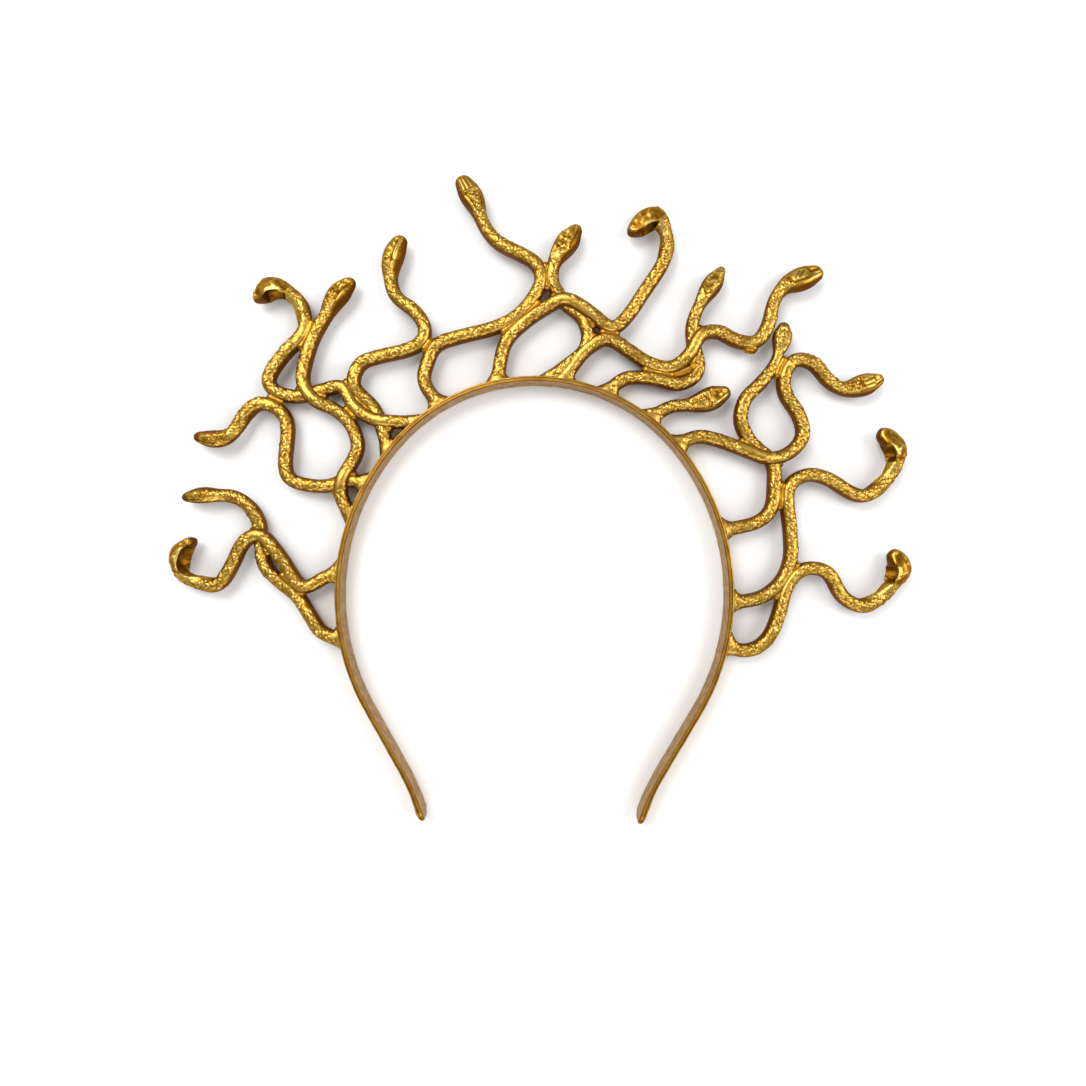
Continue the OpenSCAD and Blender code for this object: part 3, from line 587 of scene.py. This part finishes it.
class Snake:
    """One snake: a tube of rings along its line, with relief, and a depth of dark patina in its
    hollows and of painted shade on its walls, cheeks and hood.

    Lengths run from the snout. X and Y are a point's place along and across a head of full size,
    C and D its shares of the ring's half width and half height, and U its distance round the ring
    from the middle of the front.
    """

    def __init__(self, name):
        route, self.roll, self.size, self.hooded = SNAKES[name]
        self.name = name
        self.foot_angle = route[-1][0]
        if self.hooded:
            self.backs, self.rims, more = HOODS[name]
            self.roll += math.copysign(more, self.roll)
        else:
            self.pointed, self.wide, self.scaled_from, *self.marks = HEADS[name]
        # Whether a head shows its top, or lies on its side
        self.seen = abs(self.roll) < 45
        self.line, self.run = snake_line(name)
        self.total = self.run[-1]
        self.reach = self.size * (COBRA_L + HOOD_L if self.hooded else HEAD_L)
        self.blunt = self.size * (HOODED_SNOUT if self.hooded else PLAIN_SNOUT)
        self.s = self.stations()
        self.S = self.s[:, None]
        self.place_rings()
        self.size_rings()
        self.shape_rings()

        self.facing = smooth(self.level, 0.18, 0.55)
        head_l = COBRA_L if self.hooded else HEAD_L
        self.head_on = 1 - smooth(self.X, head_l * 0.88, head_l * 1.05)
        self.fused = self.smoothed()
        self.relief, self.groove = np.zeros((2, *self.P.shape[:2]))
        self.add_scales()
        self.add_belly_bands()
        if self.hooded:
            self.mark_flanks()
            self.mark_hollow()
            self.cut_mouth(*HOODED_MOUTH)
        else:
            self.mark_head()
            self.cut_mouth(*PLAIN_MOUTH)
        self.paint_wall_shade()

    def stations(self):
        """Distances of the rings: close on the rounded snout and the head, wider on the body."""
        quarter = np.linspace(0, math.pi / 2, TIP_RINGS + 1)[1:]
        tip = self.blunt * (1 - np.cos(quarter))
        head = np.arange(self.blunt, self.reach, HEAD_STEP)[1:]
        body = np.linspace(self.reach, self.total, int((self.total - self.reach) / BODY_STEP))
        return np.concatenate([tip, head, body])

    def at(self, x):
        """Points of the line at distances x."""
        return along(self.line, self.run, x)

    def place_rings(self):
        """Where each ring stands, and the directions of its width and its height."""
        s, total = self.s, self.total
        self.here = self.at(s)
        forward = unit(self.at(np.minimum(s + 1, total)) - self.at(np.maximum(s - 1, 0)))
        if self.hooded:
            # The rings of a hood fan out evenly, so that its hollow side doesn't fold
            share = 1 - smooth(s, self.reach + 2, self.reach + 10)[:, None]
            forward = unit(forward * (1 - share) + fanned(forward, s) * share)
        z = np.array([0, 0, 1.0])
        side = unit(np.cross(forward, z))
        front = np.cross(side, forward)
        # Over the foot the rings turn to face the band
        ox, oy = outward(self.foot_angle + CREST_TURN)
        along_band = np.array([oy, -ox, 0.0])
        along_band *= np.sign(side[-1] @ along_band)
        turn = smooth(s, total - FOOT_L - 2, total - 0.8)[:, None]
        side = unit(side * (1 - turn) + along_band * turn)
        front = unit(front * (1 - turn) + z * turn)
        rolls = [(self.reach, self.roll), (self.reach + NECK_L, 0)]
        roll = np.radians(table(s, rolls, NECK_BLUR))[:, None]
        self.across = side * np.cos(roll) - front * np.sin(roll)
        self.up = front * np.cos(roll) + side * np.sin(roll)

    def size_rings(self):
        """Half width of each ring, and its half height on the side of its back and its belly."""
        s, own = self.s, self.s / self.size
        shrink = table(s, [(self.reach, self.size), (self.reach + NECK_L, 1)], NECK_BLUR)
        self.rounding = np.sqrt(np.clip(1 - (1 - np.clip(s / self.blunt, 0, 1)) ** 2, 0, 1))
        if self.hooded:
            widths = HOOD_WIDTHS
            body = [(HOOD_END, BODY_D / 2)]
            backs = list(zip(HOOD_STATIONS, self.backs)) + body
            bellies = list(zip(HOOD_STATIONS, self.rims)) + body
        else:
            neck_end = 1.10 * HEAD_L + NECK_L
            widths = [(a * HEAD_L, b * HEAD_W / 2) for a, b in PLAIN_WIDTHS]
            widths.append((neck_end, BODY_W / 2))
            backs = [(a * HEAD_L, b * HEAD_H / 2) for a, b in PLAIN_HEIGHTS]
            backs.append((neck_end, BODY_D / 2))
            bellies = backs
        half_w = table(own, widths, HEAD_BLUR) * shrink * self.rounding
        if not self.hooded:
            half_w *= 1 - self.pointed * (1 - smooth(own, 0, 6))
            half_w *= self.wide + (1 - self.wide) * smooth(own, 0.8 * HEAD_L, 1.3 * HEAD_L)
        back = table(own, backs, HEAD_BLUR) * shrink * self.rounding
        # The foot flares like a trumpet and meets the band's face at full width
        flare = np.clip((s - (self.total - FOOT_L - 1.2)) / FOOT_L, 0, 1)
        self.half_w = half_w + (FOOT_W / 2 - BODY_W / 2) * flare**1.9
        self.back = (back + 0.15 * flare**2)[:, None]
        self.belly = table(own, bellies, HEAD_BLUR) * shrink * self.rounding

    def shape_rings(self):
        """Points and normals of the plain form, without relief."""
        back, belly = self.back, self.belly[:, None]
        lateral = self.half_w[:, None] * C
        height = np.where(D > 0, back, belly) * D
        if self.hooded:
            # The rims come down, and the belly side between them is hollowed out to a thin wall
            own = self.s / self.size
            self.open = table(own, HOOD_OPEN, HEAD_BLUR)[:, None]
            down = table(own, HOOD_DOWN, HEAD_BLUR)[:, None]
            drop = (self.belly - HOOD_RIM * self.rounding)[:, None] * down * C**2
            floor = np.abs(D) * (belly * (1 - self.open) + HOOD_FLOOR * back * self.open)
            height = np.where(D > 0, back * D - drop, -((floor**4 + drop**4) ** 0.25))
        P = (self.here[:, None, :] + self.across[:, None, :] * lateral[..., None]
             + self.up[:, None, :] * height[..., None])
        down_rows = np.gradient(P, axis=0)
        round_columns = (np.roll(P, -1, 1) - np.roll(P, 1, 1)) / 2
        normal = unit(np.cross(round_columns, down_rows))
        if ((P - P.mean(axis=1, keepdims=True)) * normal).sum() < 0:
            normal = -normal
        self.P, self.normal, self.level = P, normal, normal[..., 2]
        self.X, self.Y = self.S / self.size, lateral / self.size
        self.height = height

    def smoothed(self):
        """How smooth the metal is: on fused spots, at contacts and on the foot."""
        foot_start = self.total - FOOT_L
        spot = 0.9 * (1 - smooth(nearest(self.P, FUSED), 0.9, 2.6))
        contact = 0.8 * (1 - smooth(nearest(self.P, CONTACTS), 0.8, 2.2))
        foot = 0.5 * smooth(self.S, foot_start, foot_start + 3)
        return np.maximum(np.maximum(spot, contact), foot)

    def scale_field(self):
        """Where the small scales lie: over the front, and in a strip on a plain head."""
        X, facing = self.X, self.facing
        if self.hooded:
            past_hood = smooth(self.S, self.reach - 4, self.reach - 2)
            return past_hood * facing * smooth(D, -0.45, -0.05)
        half = 2.5 - 0.10 * np.clip(X - 7.5, 0, 6) + (0 if self.seen else 2.0)
        strip = smooth(X, self.scaled_from, self.scaled_from + 1)
        strip = strip * (1 - smooth(np.abs(self.Y), half - 0.5, half + 0.1)) * facing
        return np.maximum(strip * (1 - smooth(X, 12.5, 14)), smooth(X, 12.5, 14.5) * facing)

    def add_scales(self):
        """Scales of the body: smaller on the neck, a little uneven and worn in places."""
        s = self.s
        pitch = table(s, [(self.reach - 4, NECK_PITCH), (self.reach + NECK_L + 6, BODY_PITCH)], 1.0)
        phase = np.cumsum(np.diff(s) / ((pitch[1:] + pitch[:-1]) / 2))
        phase = np.concatenate([[0], phase])[:, None]
        sway = 0.14 * np.sin(2.3 * phase + 1.1 * U) + 0.09 * np.sin(5.1 * phase - 2.3 * U + 0.7)
        hand = math.copysign(1, self.foot_angle)
        high, deep = scale_relief(phase + 0.9 * sway, hand * U / COLUMN_PITCH + 0.7 * sway)
        wear = 0.80 + 0.20 * np.sin(1.7 * phase + 0.9 * U) * np.sin(0.63 * phase + 2)
        field = self.scale_field() * (1 - self.fused)
        self.relief += (high * 0.33 - 0.12) * field * wear
        self.groove += deep**1.5 * 0.50 * field

    def add_belly_bands(self):
        """Belly bands across the back of the body."""
        band = np.abs(((self.S / BELLY_PITCH) % 1) - 0.5) * 2
        band = smooth(band, 0.72, 0.95) * (1 - smooth(D, -0.75, -0.45))
        band = band * smooth(self.S, self.reach - 3, self.reach)
        self.relief -= band * 0.10 * (1 - self.fused)
        self.groove += band * 0.5

    def mark_head(self):
        """Marks, eyes, nostrils and brows of a plain head, with painted shade on its cheeks; a head
        on its side is darker at its snout.
        """
        X, Y = self.X, self.Y
        top = smooth(D, -0.1, 0.3) * self.head_on * smooth(self.level, 0.60, 0.92)
        cast, cut = marked(X, Y, *self.marks)
        self.relief += 1.25 * cast * top * smooth(X, 0.8, 2.2)
        self.groove += 1.2 * cut * top
        nostril_y = 1.1 * self.wide * (1 - self.pointed)
        for sign in (-1, 1):
            if self.seen:
                r = np.hypot((X - 5.0) / 0.62, (D - 0.42) / 0.22) + FAR * (C * sign < 0)
                ball, socket = eye_relief(r, 0.14, 0.10)
                self.relief += ball * self.facing
                self.groove += 0.5 * socket
            nostril = bell(np.hypot(X - 1.0, Y - sign * nostril_y), 0, 0.32) * (D > 0)
            self.relief -= 0.22 * nostril
            self.groove += 0.7 * nostril
        if self.seen:
            # Painted shade on the cheeks, below the brows
            cheek_shade = (1 - smooth(D, 0.50, 0.80)) * self.head_on * smooth(X, 0.3, 1.5)
            self.groove = np.maximum(self.groove, 0.92 * cheek_shade)
            brow = bell(D, 0.84, 0.06) * self.head_on * smooth(X, 1.0, 2.0)
            self.relief += 0.24 * brow * self.facing
        else:
            self.groove = np.maximum(self.groove, 0.8 * (1 - smooth(X, 2.4, 3.4)))

    def mark_flanks(self):
        """Flanks of a hood: painted shade between a bright rim and a row of large smooth scales,
        lifted off the scales and ridges.
        """
        X = self.X
        # Depth of a point below the outline of the back
        below = (self.back - self.height) / self.size
        outer = smooth(D, -0.15, 0.10)
        flank = smooth(np.abs(C), 0.20, 0.50) * outer
        rim = bell(np.abs(C), 1, 0.07) * self.open
        shade = flank * smooth(X, 1.0, 3.0) * (1 - smooth(X, 14, 18))
        # Painted shade on the flank, kept off the rim
        self.groove += 0.66 * shade * (1 - rim)
        self.relief += 0.30 * rim * outer
        for x, depth, rx, ry in HOOD_SCALES:
            oval = np.exp(-1.4 * np.hypot((X - x) / rx, (below - depth) / ry) ** 2.4)
            self.relief += 0.50 * oval * outer
            self.groove -= 0.62 * oval * shade
        for ends, high in HOOD_RIDGES:
            ridge = bell(line_distance(X, below, *ends), 0, 0.55)
            self.relief += high * ridge * outer * smooth(below, 0.2, 1.4)
            self.groove -= 0.50 * ridge * shade
        r = np.hypot((X - 3.0) / 0.50, (self.height / self.size - 0.35) / 0.42)
        ball, socket = eye_relief(r + FAR * (np.abs(C) < 0.3), 0.24, 0.12)
        self.relief += ball
        self.groove += 0.4 * socket

    def mark_hollow(self):
        """Ridges in the hollow of a hood, with painted shade in the hollow, and large scales along
        the back of its neck.
        """
        X = self.X
        inside = smooth(-D, 0.02, 0.30) * self.open
        # The ridges draw together towards the neck
        side_ridge = 0.46 * np.clip(1.25 - 0.10 * (X - 6), 0.15, 1.2)
        for sign in (-1, 0, 1):
            self.relief += 0.26 * bell(C, sign * side_ridge, 0.10) * inside
        # Painted shade in the hollow, lighter on its ridges
        self.groove += inside * (0.72 - 0.35 * bell(np.abs(C), side_ridge, 0.12))
        high, deep = scale_relief(self.S / 3.0, U / 2.6)
        nape = self.facing * smooth(X, 12, 14)
        nape = nape * (1 - smooth(self.S, self.reach - 4, self.reach - 2))
        self.relief += (high * 0.30 - 0.08) * nape
        self.groove += deep * 0.3 * nape

    def cut_mouth(self, length, share):
        """The mouth line, at a share of the half height."""
        mouth = bell(D, share, 0.085) * (1 - smooth(self.X, length - 1, length))
        self.relief -= 0.34 * mouth * smooth(self.X, 0.0, 0.6)
        self.groove += 0.85 * mouth

    def paint_wall_shade(self):
        """Painted shade on the upright walls that turn away from the front, a little less on fused
        metal.
        """
        wall = smooth(-self.level, -0.84, -0.34 - 0.16 * self.head_on)
        if self.hooded:
            # Less painted shade on the belly side of the neck
            less_belly_shade = smooth(-D, 0.05, 0.45) * smooth(self.X, 13, 17)
            less_belly_shade = less_belly_shade * (1 - smooth(self.S, self.reach + 5, self.reach + 12))
            wall = wall * (1 - 0.65 * less_belly_shade)
        self.groove = np.maximum(self.groove, wall * (0.95 - 0.20 * self.fused))

    def add(self, material):
        """The snake's piece, kept between the floor and the front of the part."""
        P = self.P + self.normal * (self.relief * self.rounding[:, None])[..., None]
        P[..., 2] = np.clip(P[..., 2], LOWEST, HIGHEST)
        ends = self.at(np.array([0.0, self.total]))
        groove = np.append(self.groove, [self.groove[0].mean(), self.groove[-1].mean()])
        add_piece(
            "snake_" + self.name, np.vstack([P.reshape(-1, 3), ends]),
            *tube(len(self.s), C.size), material,
            groove=groove, fused=np.append(self.fused, [0, 1]))


# Headband
def band_parts():
    """Radii of the band's middle line, and the distances at which its three curves end."""
    crown, side = CROWN_R + BAND_T / 2, SIDE_R + BAND_T / 2
    crown_run = crown * CROWN_TURN / DEGREES
    side_run = crown_run + side * (90 + LEG_LEAN - CROWN_TURN) / DEGREES
    leg_run = side_run + LEG_L
    return crown, side, crown_run, side_run, leg_run


def band_place(s):
    """Middle line of one half of the band: place and the direction outward, in degrees."""
    crown, side, crown_run, side_run, leg_run = band_parts()
    side_centre = (crown - side) * outward(CROWN_TURN)
    end = 90 + LEG_LEAN
    leg_top = side_centre + side * outward(end)
    leg_foot = leg_top + LEG_L * outward(end + 90)
    end_centre = leg_foot + END_R * outward(end)
    if s <= crown_run:
        a = s / crown * DEGREES
        return crown * outward(a), a
    if s <= side_run:
        a = CROWN_TURN + (s - crown_run) / side * DEGREES
        return side_centre + side * outward(a), a
    if s <= leg_run:
        return leg_top + (s - side_run) * outward(end + 90), end
    a = end - (s - leg_run) / END_R * DEGREES
    return end_centre - END_R * outward(a), a


def band_mark(x, y, half_t, half_d):
    """0 to 0.6 across the front edge from its outer side, then on to 1 down the inner face."""
    down = (half_d - y) / (2 * half_d)
    return float(np.clip(0.3 * (1 - x / half_t) + (1.2 * down if x < 0 else 0), 0, 1))


def band_section(half_t, half_d):
    """The strip's rounded section: x to its outer face, y to its front edge."""
    r = min(CORNER_R, 0.96 * half_t, 0.96 * half_d)
    corners = [(1, 1), (-1, 1), (-1, -1), (1, -1)]

    def on_corner(n, angle):
        t = math.radians(angle)
        cx, cy = corners[n % 4]
        return cx * (half_t - r) + r * math.cos(t), cy * (half_d - r) + r * math.sin(t)

    ring = []
    for n in range(4):
        for k in range(CORNER_STEPS + 1):
            ring.append(on_corner(n, 90 * n + k * 90 / CORNER_STEPS))
        x0, y0 = ring[-1]
        x1, y1 = on_corner(n + 1, 90 * n + 90)
        for k in range(1, FLAT_STEPS):
            f = k / FLAT_STEPS
            ring.append((x0 + (x1 - x0) * f, y0 + (y1 - y0) * f))
    return ring


def add_headband(material):
    length = band_parts()[-1] + END_R * END_TURN / DEGREES
    half = np.concatenate([
        np.arange(0, length - END_L, BAND_STEP),
        length - END_L * np.cos(np.linspace(0, math.pi / 2, END_RINGS)[:-1]),
        [length - 0.004],
    ])
    rings, inner = [], []
    for s in np.concatenate([-half[:0:-1], half]):
        place, a = band_place(abs(s))
        sign = -1 if s < 0 else 1
        from_end = length - abs(s)
        share = min(1, from_end / MID_D)
        half_d = MID_D * math.sqrt(max(1 - (1 - share) ** 2, 0.0004))
        half_t = np.interp(from_end, [0, 0.10 * END_L, 0.35 * END_L, 0.7 * END_L, END_L + 2],
                           [0.25 * END_T, 0.75 * END_T, END_T, END_T, BAND_T]) / 2
        ring = band_section(half_t, half_d)
        inner += [band_mark(x, y, half_t, half_d) for x, y in ring]
        ring = np.array(ring)
        # Hand finishing leaves the strip a little uneven
        wave = 0.035 * math.sin(s * 0.55) + 0.03 * math.sin(s * 1.31 + 1.7)
        ring[:, 0] *= 1 + wave * (from_end > 3)
        xy = np.array([sign * place[0], place[1]]) + outward(sign * a) * ring[:, :1]
        rings.append(np.hstack([xy, MID_D + ring[:, 1:]]) - MIDDLE)
    P = np.array(rings)
    verts = np.vstack([P.reshape(-1, 3), P[0].mean(0), P[-1].mean(0)])
    quads, tris = (faces[:, ::-1] for faces in tube(*P.shape[:2]))
    add_piece("headband", verts, quads, tris, material, inner=np.append(inner, [0.5, 0.5]))


def add_solder(material):
    """Solder where snakes touch or cross: drops so close that they run into seams."""
    levels, around = DROP_GRID
    lat = np.linspace(-math.pi / 2, math.pi / 2, levels + 2)[1:-1]
    lon = np.linspace(0, 2 * math.pi, around, endpoint=False)
    la, lo = np.meshgrid(lat, lon, indexing="ij")
    drop_quads, drop_tris = tube(levels, around)
    verts, quads, tris = [], [], []
    for n, (x, y, z) in enumerate(CONTACTS):
        r = 1.9 + 0.12 * math.sin(1.1 * x + 0.7 * y)
        rz = 2.0 + 0.12 * math.sin(0.8 * x - 1.3 * y)
        drop = np.stack([
            x + r * np.cos(la) * np.cos(lo), y + r * np.cos(la) * np.sin(lo),
            z + rz * np.sin(la)], -1)
        verts.append(np.vstack([drop.reshape(-1, 3), [x, y, z - rz], [x, y, z + rz]]))
        base = n * (levels * around + 2)
        quads.append(base + drop_quads)
        tris.append(base + drop_tris)
    add_piece("solder", np.vstack(verts), np.vstack(quads), np.vstack(tris), material)


# Materials
class Surface:
    """A procedural material, with short forms for the nodes that feed its shader."""

    def __init__(self, name, metallic=1.0, tint=EDGE_TINT):
        self.material = bpy.data.materials.new(name)
        self.material.use_nodes = True
        self.tree = self.material.node_tree
        self.shader = self.tree.nodes["Principled BSDF"]
        self.coords = self.node("ShaderNodeTexCoord").outputs["Object"]
        self.set(self.shader, {
            "Metallic": metallic, "Specular IOR Level": GLOSS, "Specular Tint": tint})

    def set(self, node, inputs):
        """Gives a node's inputs a number, a colour or another node's output each."""
        for key, value in inputs.items():
            socket = node.inputs[key]
            if isinstance(value, bpy.types.NodeSocket):
                self.tree.links.new(value, socket)
            else:
                socket.default_value = (*value, 1) if isinstance(value, tuple) else value

    def node(self, kind, inputs=None):
        node = self.tree.nodes.new(kind)
        self.set(node, inputs or {})
        return node

    def noise(self, scale, detail=3, rough=0.55):
        inputs = {"Scale": scale, "Detail": detail, "Roughness": rough, "Vector": self.coords}
        return self.node("ShaderNodeTexNoise", inputs).outputs["Fac"]

    def ramp(self, value, stops):
        node = self.node("ShaderNodeValToRGB", {"Fac": value})
        elements = node.color_ramp.elements
        while len(elements) < len(stops):
            elements.new(0.5)
        for element, (place, colour) in zip(elements, stops):
            element.position = place
            element.color = (*colour, 1)
        return node.outputs["Color"]

    def mix(self, share, a, b, kind="MIX"):
        node = self.node("ShaderNodeMix")
        node.data_type = "RGBA"
        node.blend_type = kind
        self.set(node, {"Factor": share, 6: a, 7: b})
        return node.outputs[2]

    def to_range(self, value, low, high, from_low=0.0, from_high=1.0):
        inputs = {"From Min": from_low, "From Max": from_high, "To Min": low, "To Max": high}
        return self.node("ShaderNodeMapRange", {**inputs, "Value": value}).outputs["Result"]

    def attribute(self, name):
        node = self.node("ShaderNodeAttribute")
        node.attribute_type = "GEOMETRY"
        node.attribute_name = name
        return node.outputs["Fac"]

    def bump(self, height, strength):
        node = self.node("ShaderNodeBump", {
            "Strength": strength, "Distance": BUMP_DISTANCE, "Height": height})
        self.set(self.shader, {"Normal": node.outputs["Normal"]})

    def roughness(self, scale, low, high):
        """An uneven gloss."""
        grain = self.noise(scale)
        self.set(self.shader, {"Roughness": self.to_range(grain, low, high, 0.3, 0.7)})


def snake_gold():
    """Cast gold, worn lighter in places, with a dark duller patina in its hollows and duller painted
    shade on its walls, cheeks and hood flanks.
    """
    gold = Surface("cast gold")
    groove = gold.attribute("groove")
    worn = gold.to_range(gold.noise(260, 4), 0.0, 0.55, 0.42, 0.72)
    base = gold.mix(worn, GOLD_LIGHT, GOLD_WORN)
    share = gold.to_range(gold.attribute("fused"), 0.0, 0.55)
    base = gold.mix(share, base, GOLD_FUSED)
    # Patina in the hollows and painted shade on the walls, cheeks and hood flanks darken the gold
    # and make it less metallic
    patina_and_shade_tint = gold.ramp(groove, [
        (0.0, (1, 1, 1)), (0.35, PATINA_SHADE_THIN), (0.7, PATINA_SHADE_DEEP), (1.0, PATINA_SHADE_DARK)])
    gold.set(gold.shader, {
        "Base Color": gold.mix(1.0, base, patina_and_shade_tint, "MULTIPLY"),
        "Metallic": gold.to_range(groove, 1.0, 0.45, 0.3, 1.0)})
    gold.roughness(900, 0.26, 0.42)
    gold.bump(gold.noise(1500, 3, 0.5), 0.14)
    return gold.material


def solder_gold():
    """Redder gold of the solder."""
    gold = Surface("solder gold")
    tone = gold.ramp(gold.noise(320, 4), [(0.3, SOLDER_LIGHT), (0.7, SOLDER_DARK)])
    gold.set(gold.shader, {"Base Color": tone})
    gold.roughness(700, 0.28, 0.42)
    gold.bump(gold.noise(900), 0.08)
    return gold.material


def band_gold():
    """The strip: a gold front edge with painted shade along its borders, and a painted tan, streaked
    reflection on its inner face.
    """
    gold = Surface("band gold", tint=BAND_TINT)
    inner = gold.attribute("inner")
    edge = gold.ramp(gold.noise(180, 5), [(0.3, EDGE_LIGHT), (0.72, EDGE_DARK)])
    # The inner face's tan is a painted reflection, streaked
    tan = gold.ramp(gold.noise(420, 4), [(0.36, REFLECTION_TAN_LIGHT), (0.66, REFLECTION_TAN_DARK)])
    base = gold.mix(gold.to_range(inner, 0.0, 1.0, 0.58, 0.68), edge, tan)
    # Painted shade along the two borders of the front edge, and lighter shade over its middle
    line = gold.ramp(inner, [
        (0.12, (1, 1, 1)), (0.20, (0.20, 0.12, 0.06)), (0.30, (0.66, 0.54, 0.40)),
        (0.46, (0.85, 0.78, 0.65)), (0.57, (0.26, 0.17, 0.09)), (0.66, (1, 1, 1))])
    gold.set(gold.shader, {
        "Base Color": gold.mix(1.0, base, line, "MULTIPLY"),
        "Metallic": gold.to_range(inner, 1.0, 0.55, 0.5, 0.9)})
    gold.roughness(800, 0.34, 0.50)
    gold.bump(gold.noise(1200, 4), 0.3)
    return gold.material


def floor_white():
    """Plain pale floor."""
    floor = Surface("floor white", metallic=0.0, tint=(1, 1, 1))
    tone = floor.ramp(floor.noise(6, 2), [(0.3, (0.91, 0.91, 0.91)), (0.7, (0.93, 0.93, 0.93))])
    floor.set(floor.shader, {"Base Color": tone, "Roughness": 0.7})
    return floor.material


# Stage
def add_light(name, place, size, watts):
    """A soft light that looks at the origin."""
    data = bpy.data.lights.new(name, "AREA")
    data.shape = "RECTANGLE"
    data.size, data.size_y = size
    data.energy = watts
    light = bpy.data.objects.new(name, data)
    light.location = place
    light.rotation_euler = (-Vector(place)).to_track_quat("-Z", "Y").to_euler()
    bpy.context.scene.collection.objects.link(light)


def add_floor():
    bpy.ops.mesh.primitive_plane_add(size=FLOOR_SIZE, location=(0, 0, FLOOR_Z))
    floor = bpy.context.object
    floor.name = "floor"
    floor.data.materials.append(floor_white())


def add_world():
    world = bpy.data.worlds.new("studio")
    world.use_nodes = True
    background = world.node_tree.nodes["Background"]
    background.inputs["Color"].default_value = WORLD_COLOUR
    background.inputs["Strength"].default_value = WORLD_STRENGTH
    bpy.context.scene.world = world
    bpy.context.scene.view_settings.view_transform = "Standard"


def add_camera():
    data = bpy.data.cameras.new("camera")
    data.sensor_fit = "AUTO"
    data.angle = math.radians(CAMERA_FOV)
    data.clip_start = 0.01
    camera = bpy.data.objects.new("camera", data)
    camera.location = CAMERA_AT
    camera.rotation_euler = (0, 0, math.radians(CAMERA_TURN))
    bpy.context.scene.collection.objects.link(camera)
    bpy.context.scene.camera = camera


snake_material = snake_gold()
for snake_name in SNAKES:
    Snake(snake_name).add(snake_material)
add_headband(band_gold())
add_solder(solder_gold())
add_floor()
for light_values in LIGHTS:
    add_light(*light_values)
add_world()
add_camera()
